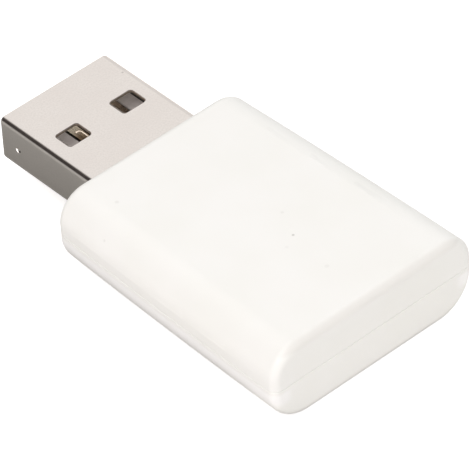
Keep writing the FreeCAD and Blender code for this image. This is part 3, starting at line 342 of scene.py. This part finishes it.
def paint_fold_reflections(finish):
    """Paints reflection on the plug: darker sides, and dark lines and light bands at the folds.

    A place's height above the top, less how far out it is beyond the side, tells where it is
    round a fold: +BEND where the top begins, 0 half way and -BEND where the side begins.
    """
    past_top = finish.add(
        "ShaderNodeMath", (finish.apart(finish.z, PLUG_AXIS), plug_top - PLUG_AXIS),
        operation="SUBTRACT",
    )
    past_side = finish.add(
        "ShaderNodeMath", (finish.apart(finish.x), PLUG_HALF), operation="SUBTRACT"
    )
    fold = finish.add("ShaderNodeMath", (past_top, past_side), operation="SUBTRACT")
    # On the far side the painted marks lie lower down, and a faint painted grey line shows where
    # the fold begins.
    lower = finish.within((finish.x, -1.0, 1.0), most=0.45)
    fold = finish.add("ShaderNodeMath", (fold, lower), operation="ADD")
    begins = finish.within(
        (finish.x, PLUG_HALF - 0.65, PLUG_HALF - 0.48),
        (finish.x, PLUG_HALF - 0.25, PLUG_HALF - 0.4),
    )
    finish.stain(begins, "C6BFB8", 0.35)
    # Painted reflection: the side walls are darker.
    finish.stain(finish.within((fold, 0.1, -0.35)), "B5B2AC")
    # Painted reflection: a dark line round each fold.
    painted_fold_reflection = finish.within((fold, 0.37, 0.15), (fold, -0.27, -0.08))
    finish.stain(painted_fold_reflection, "473A33", 0.85)
    # Painted highlight: just below the fold the side is a little brighter.
    painted_light_band = finish.within((fold, -0.16, -0.28), (fold, -0.6, -0.34))
    finish.stain(painted_light_band, "D3CDC6", 0.2)


def stain_sheared_edges(finish):
    """Colours the sheet's cut edges inside its thickness, away from the sides.

    The punch leaves their outer part smooth and plated, and breaks the inner part, which is
    dark. What comes back is where the cut edges are.
    """
    up = finish.apart(finish.z, PLUG_AXIS)
    roof = plug_top - PLUG_AXIS - SHEET
    inner = PLUG_HALF - BEND
    sheet = finish.within(
        (finish.apart(finish.x), inner, inner - 0.1), (up, roof + 0.01, roof + 0.03)
    )
    sheared = finish.within((up, roof + 0.26, roof + 0.18), most=sheet)
    finish.stain(sheared, "E3D5C7")
    broken = finish.within((up, roof + 0.2, roof + 0.1), most=sheet)
    finish.stain(broken, "8A7A6B", 0.6)
    return sheared


def paint_window_rim_shade(finish):
    """Paints a thin line of shade where the punch has rolled the windows' rims over, to -X and -Y.

    It fills the window's own rounded outline, moved that way: the places that are less than
    the corner's radius away from the box between the corners' middles.
    """
    side = finish.add("ShaderNodeMath", (finish.x,), operation="SIGN")
    # The painted line is moved 0.08 mm to the left in the left window, and by 0.13 in the right
    # one.
    left, right = -WINDOW[0] - 0.08, WINDOW[0] - 0.13
    across = finish.add(
        "ShaderNodeMapRange", {"Value": side, "From Min": -1.0, "To Min": left, "To Max": right}
    )
    middle = finish.add("ShaderNodeCombineXYZ", (across, WINDOW[1] - 0.035, plug_top))
    # The box is deep enough for the sheet along Z.
    box = (WINDOW_HALF[0] - WINDOW_CORNER, WINDOW_HALF[1] - WINDOW_CORNER, 1.0)
    past = finish.add("ShaderNodeVectorMath", (finish.place, middle), operation="SUBTRACT")
    past = finish.add("ShaderNodeVectorMath", (past,), operation="ABSOLUTE")
    past = finish.add("ShaderNodeVectorMath", (past, box), operation="SUBTRACT")
    past = finish.add("ShaderNodeVectorMath", (past, (0, 0, 0)), operation="MAXIMUM")
    away = finish.add("ShaderNodeVectorMath", (past,), "Value", operation="LENGTH")
    # The painted shade: a thin dark band just inside the rounded outline, at the sheet's top.
    rolled = finish.within(
        (away, WINDOW_CORNER + 0.015, WINDOW_CORNER - 0.015),
        (finish.z, plug_top - 0.02, plug_top - 0.01),
    )
    finish.stain(rolled, "5E534A", 0.85)


def paint_press_mark_glint(finish):
    """Paints the press mark's rim: a glint at its low front and shade at its low rear.

    Its painted glint also faces half way between the larger lamp and the camera.
    """
    forward = finish.add("ShaderNodeMath", (finish.y, MARK[0]), operation="SUBTRACT")
    above = finish.add("ShaderNodeMath", (finish.z, MARK[1]), operation="SUBTRACT")
    away = finish.diagonal(forward, above)
    rim = finish.within(
        (away, 0.31, 0.27), (away, 0.1, 0.16), (finish.x, 0.3 - PLUG_HALF, 0.2 - PLUG_HALF)
    )
    up_front = finish.add("ShaderNodeMath", (forward, above), operation="ADD")
    # Painted shade at the rim's low rear.
    finish.stain(finish.within((up_front, -0.1, -0.16), most=rim), "1E1915")
    low_front = finish.add("ShaderNodeMath", (forward, above), operation="SUBTRACT")
    # Painted glint at the rim's low front, on a tilted face.
    bright = finish.within((low_front, 0.12, 0.2), most=rim)
    finish.stain(bright, "F4F0EA")
    finish.tilt(bright, (-0.56, -0.47, 0.68))


def nickel_sheet():
    """Sheet steel, bright nickel plated, then folded: satin, with a fine rolled grain.

    The side walls and folds are painted darker, as painted reflection, with a painted glint at
    the press mark, and the sheared edges of the sheet are bare brownish steel.
    """
    finish = Finish("nickel_plated_sheet", "F2EBE5", Metallic=1.0, Roughness=0.38)
    finish.stain(finish.patches(2.6, detail=3.0), "EFE7E1")
    # The real grain is about 0.03 mm wide. It is drawn at 0.16 mm, where it shows.
    grain = finish.patches(0.16, detail=3.0)
    finish.stain(grain, "EAE3DD")
    paint_fold_reflections(finish)
    sheared = stain_sheared_edges(finish)
    finish.specks("6B5F56", (((5.24, 16.8, plug_top), 0.14, 0.3),))
    paint_window_rim_shade(finish)
    # The grain makes the sheet a little uneven, and the sheared edges are far rougher.
    uneven = finish.add("ShaderNodeMath", (grain, 0.3), operation="MULTIPLY")
    uneven = finish.add("ShaderNodeMath", (sheared, 0.7, uneven), operation="MULTIPLY_ADD")
    finish.dull(uneven, 0.34, 0.74)
    finish.lift(grain, 0.001)
    paint_press_mark_glint(finish)
    return finish.material


def from_contact(finish):
    """How far a place is from the middle line of the nearest of the four contacts."""
    inner, outer = CONTACTS
    from_pair = finish.apart(finish.apart(finish.x), (inner + outer) / 2)
    return finish.apart(from_pair, (outer - inner) / 2)


def insulator_resin():
    """Glass-filled resin, injection moulded: matt grey-white with faint flow streaks along Y."""
    finish = Finish("glass_filled_resin", "E4DEDB", Roughness=0.6)
    finish.stain(finish.patches(0.5, pull=(1, 4, 1), detail=3.0), "DED8D4")
    # Painted light: it is painted paler toward the mouth.
    finish.stain(finish.within((finish.y, 15.3, 16.0)), "FBF6F2")
    # Painted shade: the grooves that hold the contacts, and their rims, are painted dark,
    # the outer ones only faintly. The two inner contacts end 1 mm behind the outer ones.
    away = from_contact(finish)
    inner = finish.within((finish.apart(finish.x), 2.3, 2.2))
    reach = finish.add("ShaderNodeMath", (finish.y, inner), operation="ADD")
    strength = finish.add("ShaderNodeMapRange", {"Value": inner, "To Min": 0.15})
    painted_groove_shade = finish.within(
        (away, CONTACT_HALF - 0.02, CONTACT_HALF), (away, 0.73, 0.71),
        (reach, GROOVE_END + 0.05, GROOVE_END - 0.05), most=strength,
    )
    finish.stain(painted_groove_shade, "2A2219")
    # Glass fibres are about 0.01 mm thick. They are drawn at 0.15 mm, where they just show.
    fibres = finish.patches(0.15, pull=(1, 3, 1))
    finish.dull(fibres, 0.5, 0.68)
    finish.lift(fibres, 0.003)
    return finish.material


def paint_track_glint(finish):
    """Paints a glint along a hook-shaped track on one contact, and tilts the track's face.

    It keeps TRACK_RADIUS away from a line along Y that ends at TRACK: first beside it, and then
    round its end, where the track gets wider. Its colour is a painted highlight, and its face is
    tilted so that it looks back out of the latch window.
    """
    aside = finish.add("ShaderNodeMath", (finish.x, TRACK[0]), operation="SUBTRACT")
    onward = finish.add("ShaderNodeMath", (finish.y, TRACK[1]), operation="SUBTRACT")
    onward = finish.add("ShaderNodeMath", (onward, 0.0), operation="MAXIMUM")
    from_track = finish.apart(finish.diagonal(aside, onward), TRACK_RADIUS)
    width = finish.add(
        "ShaderNodeMapRange",
        {"Value": finish.x, "From Min": -0.7, "From Max": -1.1, "To Min": 0.1, "To Max": 0.2},
    )
    share = finish.add("ShaderNodeMath", (from_track, width), operation="DIVIDE")
    track = finish.within((share, 1.0, 0.4), (finish.x, -1.22, -1.12))
    # Painted highlight on the track.
    finish.stain(track, "BAB0A0")
    finish.tilt(track, (-0.53, -0.56, 0.63))


def gilded_contact():
    """Phosphor bronze strip, nickel plated, then flash gilded: a dim warm mirror, drawn along Y."""
    finish = Finish("flash_gilded_bronze", "AA9882", Metallic=1.0, Roughness=0.26)
    finish.stain(finish.patches(0.8, pull=(1, 2, 1)), "927A5F")
    # The outer strips are paler. One inner strip is paler from Y 14.9 to 16.1.
    finish.stain(finish.within((finish.apart(finish.x), 2.2, 2.3)), "B7A797")
    finish.stain(finish.within((finish.y, 14.9, 16.1), (finish.x, 0.2, -0.2)), "D4CEBE")
    # The cut sides are dark.
    cut = finish.within((from_contact(finish), CONTACT_HALF - 0.02, CONTACT_HALF))
    finish.stain(cut, "231B13")
    # The lines of the drawing die are about 0.01 mm apart, and 0.06 mm here so that they show.
    drawn = finish.patches(0.06, pull=(1, 12, 1))
    finish.dull(drawn, 0.22, 0.36)
    finish.lift(drawn, 0.0006)
    paint_track_glint(finish)
    return finish.material


def coated_board(name, mask, weave):
    """Woven glass laminate under a solder mask: glossy, and the weave shows through faintly."""
    finish = Finish(name, mask, Roughness=0.35)
    # Glass cloth has a thread about every 0.5 mm each way.
    spacing = 0.5
    threads = []
    for along in (finish.x, finish.y):
        turn = finish.add("ShaderNodeMath", (along, 2 * math.pi / spacing), operation="MULTIPLY")
        threads.append(finish.add("ShaderNodeMath", (turn,), operation="SINE"))
    crossing = finish.add("ShaderNodeMath", threads, operation="MULTIPLY")
    cloth = finish.add("ShaderNodeMath", (crossing, 0.5, 0.5), operation="MULTIPLY_ADD")
    finish.stain(cloth, weave, 0.5)
    finish.stain(finish.patches(3.0), mask, 0.4)
    finish.dull(finish.patches(0.4), 0.3, 0.42)
    finish.lift(cloth, 0.004)
    return finish.material


def pressed_can():
    """Tinned sheet steel, pressed: grey and satin, with rolling lines along X."""
    finish = Finish("tinned_sheet_steel", "C9C8C4", Metallic=1.0, Roughness=0.36)
    finish.stain(finish.patches(1.8), "BDBCB8")
    # Rolling lines are about 0.02 mm apart, and 0.08 mm here so that they show.
    rolled = finish.patches(0.08, pull=(14, 1, 1))
    finish.dull(rolled, 0.3, 0.44)
    finish.lift(rolled, 0.0012)
    return finish.material


def chip_resin():
    """Black epoxy moulding compound: matt, with a fine sandy grain of its filler."""
    finish = Finish("epoxy_moulding_compound", "26262A", Roughness=0.6)
    # The filler's grains are about 0.03 mm wide, and 0.1 mm here so that they show.
    sand = finish.patches(0.1, detail=3.0)
    finish.stain(sand, "34343A", 0.5)
    finish.dull(sand, 0.5, 0.7)
    finish.lift(sand, 0.003)
    return finish.material


def crystal_lid():
    """Plated kovar lid, seam welded round its edge: bright, with fine lapping marks."""
    finish = Finish("plated_kovar_lid", "D2CDC2", Metallic=1.0, Roughness=0.28)
    finish.stain(finish.patches(0.6), "C4BEB2")
    # Lapping marks are about 0.01 mm wide, and 0.07 mm here so that they show.
    lapped = finish.patches(0.07, pull=(3, 1, 1), detail=3.0)
    finish.dull(lapped, 0.22, 0.34)
    finish.lift(lapped, 0.0008)
    return finish.material


def antenna_foil():
    """Etched copper foil under gold flash: warm, with the soft dimples of the foil."""
    finish = Finish("gold_flashed_copper", "D9A066", Metallic=1.0, Roughness=0.32)
    finish.stain(finish.patches(0.8), "C98F5A")
    # The foil's dimples are about 0.02 mm wide, and 0.12 mm here so that they show.
    dimples = finish.patches(0.12, detail=3.0)
    finish.dull(dimples, 0.26, 0.4)
    finish.lift(dimples, 0.0015)
    return finish.material


def capped(node, name, colour, shade, rough):
    """A fired ceramic body between two tinned end caps, which are as long as the solid's own."""
    finish = Finish(name, colour, Roughness=rough)
    low, high = [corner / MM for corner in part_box(node)]
    size = high - low
    axis, along = (0, finish.x) if size.x > size.y else (1, finish.y)
    # The kiln leaves clouds about 0.2 mm wide.
    fired = finish.patches(0.2, detail=3.0)
    finish.stain(fired, shade)
    from_middle = finish.apart(along, (low[axis] + high[axis]) / 2)
    body = size[axis] / 2 - CAP
    cap = finish.within((from_middle, body - 0.01, body + 0.01))
    finish.stain(cap, "CFCDC8")
    finish.tree.links.new(cap, finish.shader.inputs["Metallic"])
    finish.dull(fired, rough - 0.06, rough + 0.06)
    finish.lift(fired, 0.002)
    return finish.material


# The record's slot of each CAD node, and the finish that each slot gets.
slot_of = {row["node"]: row["material_slot"] for row in frame["record"]["subparts"]}
# For a small chip part: the material's name, its body's two colours, and its roughness.
CAPPED = {
    "capacitor_tan": ("barium_titanate_and_tin", "B08D66", "A07E59", 0.5),
    "resistor_black": ("thick_film_and_tin", "1F1F24", "2A2A30", 0.4),
    "ferrite_grey": ("nickel_zinc_ferrite_and_tin", "5A5B5F", "4C4D51", 0.55),
    "fuse_green": ("glass_cloth_fuse_and_tin", "3C7A4A", "326B40", 0.45),
    "led_lens": ("clear_epoxy_lens_and_tin", "E9E4B8", "DCD59C", 0.25),
}
plain = {
    "housing": moulded_abs(),
    "plug_steel": nickel_sheet(),
    "insulator": insulator_resin(),
    "contact_gold": gilded_contact(),
    "board": coated_board("green_mask_on_glass_cloth", "1F5A3A", "2C6E49"),
    "module": coated_board("black_mask_on_glass_cloth", "1C1E22", "2A2D33"),
    "can_steel": pressed_can(),
    "chip_black": chip_resin(),
    "crystal_metal": crystal_lid(),
    "antenna_copper": antenna_foil(),
}
for name, node in frame["nodes"].items():
    slot = slot_of[name]
    material = capped(name, *CAPPED[slot]) if slot in CAPPED else plain[slot]
    for index in range(len(node.material_slots)):
        node.material_slots[index].material = material

make_camera()
make_world()
make_softbox(
    "key_softbox", (-0.63, -0.35, 0.69), distance=0.6, size=0.5, strength=0.49, colour="FFF7F8"
)
make_softbox(
    "top_softbox", (-0.2, -0.1, 1.0), distance=0.6, size=0.5, strength=0.2, colour="FFFCFA"
)
make_floor()

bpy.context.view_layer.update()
view = bpy.context.scene.view_settings
view.view_transform = "Standard"
